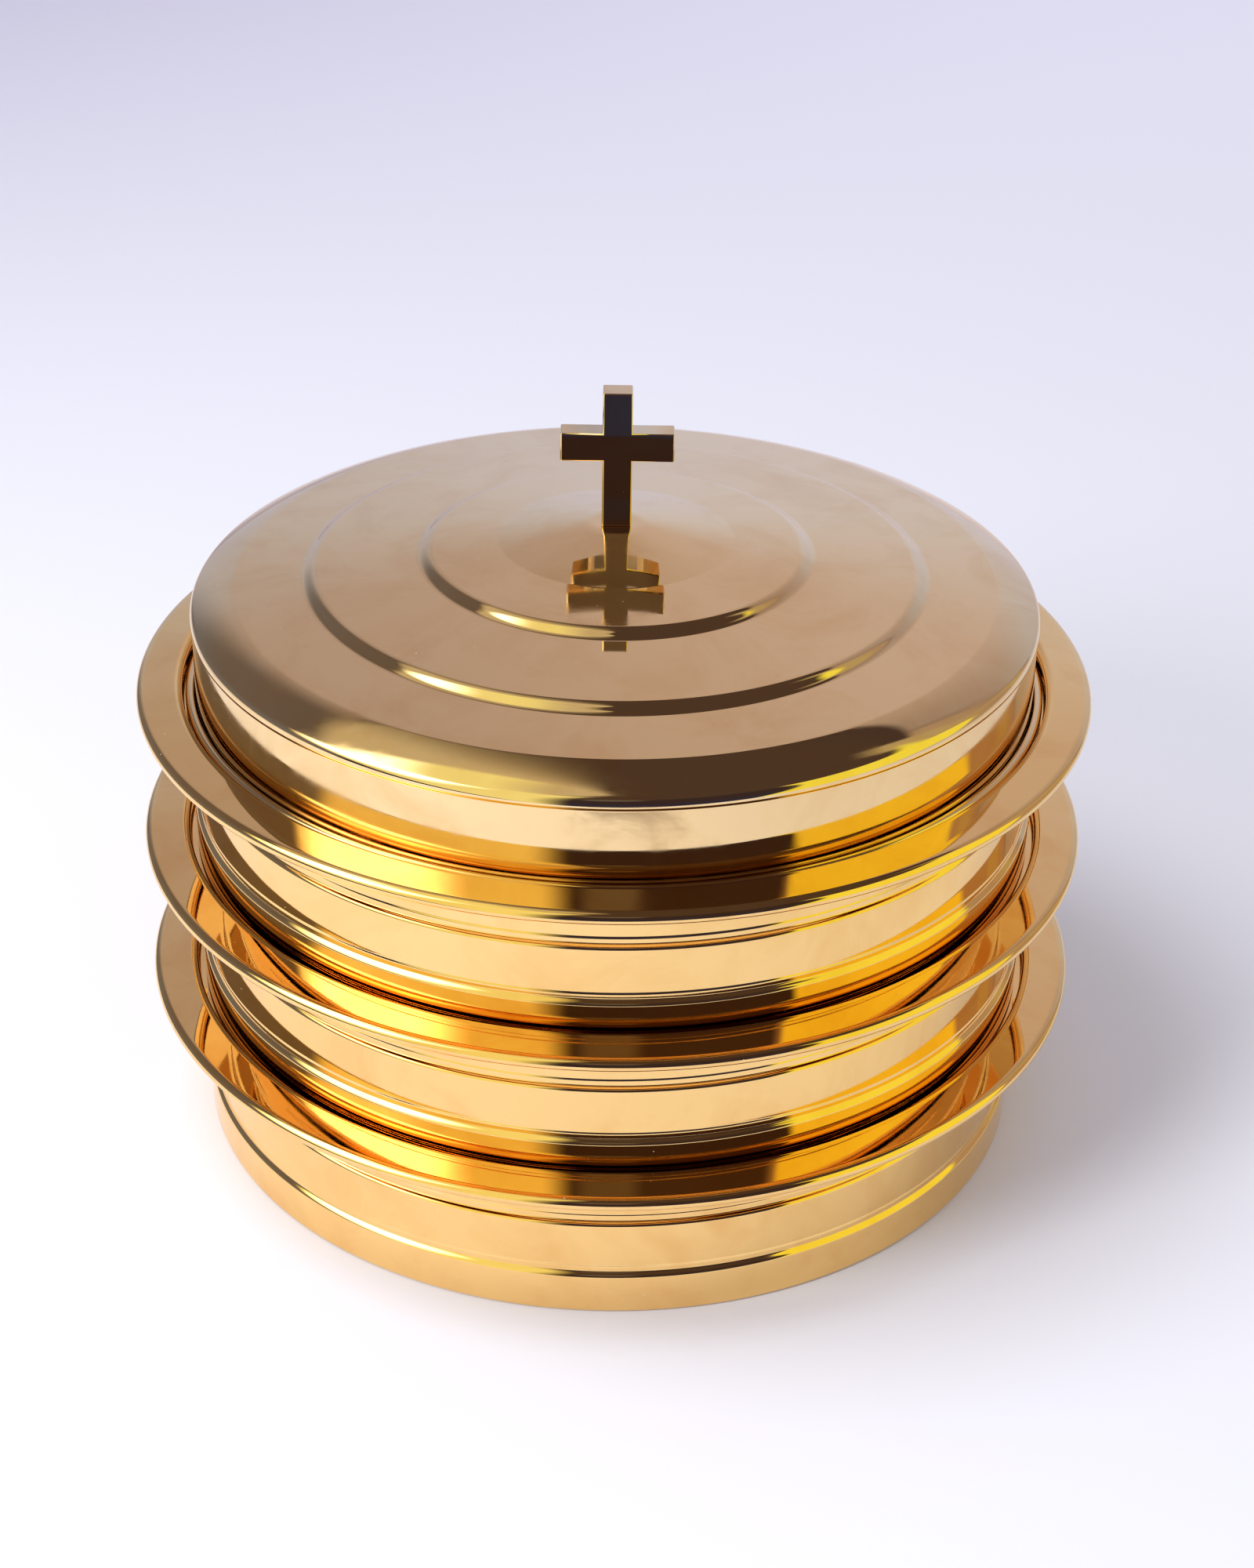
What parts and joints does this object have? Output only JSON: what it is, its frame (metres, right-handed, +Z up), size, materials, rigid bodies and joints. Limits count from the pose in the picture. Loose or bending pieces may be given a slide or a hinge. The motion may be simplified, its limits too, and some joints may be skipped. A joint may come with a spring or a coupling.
{
  "type": "stacking communion tray set",
  "caption": "Stack of round lipped communion trays with holed cup racks inside, closed by a stepped round cover with a cross finial.",
  "frame": {"origin": "centre of the underside of the lowest tray", "axes": "+Z up along the axis of the stack; the flat front of the cross faces -Y and its arms run along X"},
  "size_m": [0.3144, 0.3144, 0.2568],
  "materials": {
    "tray_gold": "gold-tone stainless steel, mirror polished",
    "rack_gold": "gold-tone stainless steel, satin",
    "cover_gold": "gold-tone stainless steel, polished with a faint haze on the top",
    "cross_gold": "polished brass tone",
    "fixing_steel": "plain steel"
  },
  "bodies": {
    "lower_tray": {"tray_bottom": "tray_gold"},
    "lower_rack": {"rack_bottom": "rack_gold"},
    "middle_tray": {"tray_middle": "tray_gold"},
    "middle_rack": {"rack_middle": "rack_gold"},
    "upper_tray": {"tray_top": "tray_gold"},
    "upper_rack": {"rack_top": "rack_gold"},
    "lid": {"cover": "cover_gold", "cross": "cross_gold", "cross_washer": "fixing_steel", "cross_screw": "fixing_steel"}
  },
  "joints": [
    {"name": "lower_rack_lift", "type": "slide", "parent": "lower_tray", "child": "lower_rack", "axis": [0, 0, 1], "range_m": [0, 0.065]},
    {"name": "middle_tray_lift", "type": "slide", "parent": "lower_rack", "child": "middle_tray", "axis": [0, 0, 1], "range_m": [0, 0.06]},
    {"name": "middle_rack_lift", "type": "slide", "parent": "middle_tray", "child": "middle_rack", "axis": [0, 0, 1], "range_m": [0, 0.065]},
    {"name": "upper_tray_lift", "type": "slide", "parent": "middle_rack", "child": "upper_tray", "axis": [0, 0, 1], "range_m": [0, 0.06]},
    {"name": "upper_rack_lift", "type": "slide", "parent": "upper_tray", "child": "upper_rack", "axis": [0, 0, 1], "range_m": [0, 0.065]},
    {"name": "cover_lift", "type": "slide", "parent": "upper_rack", "child": "lid", "axis": [0, 0, 1], "range_m": [0, 0.1]}
  ]
}
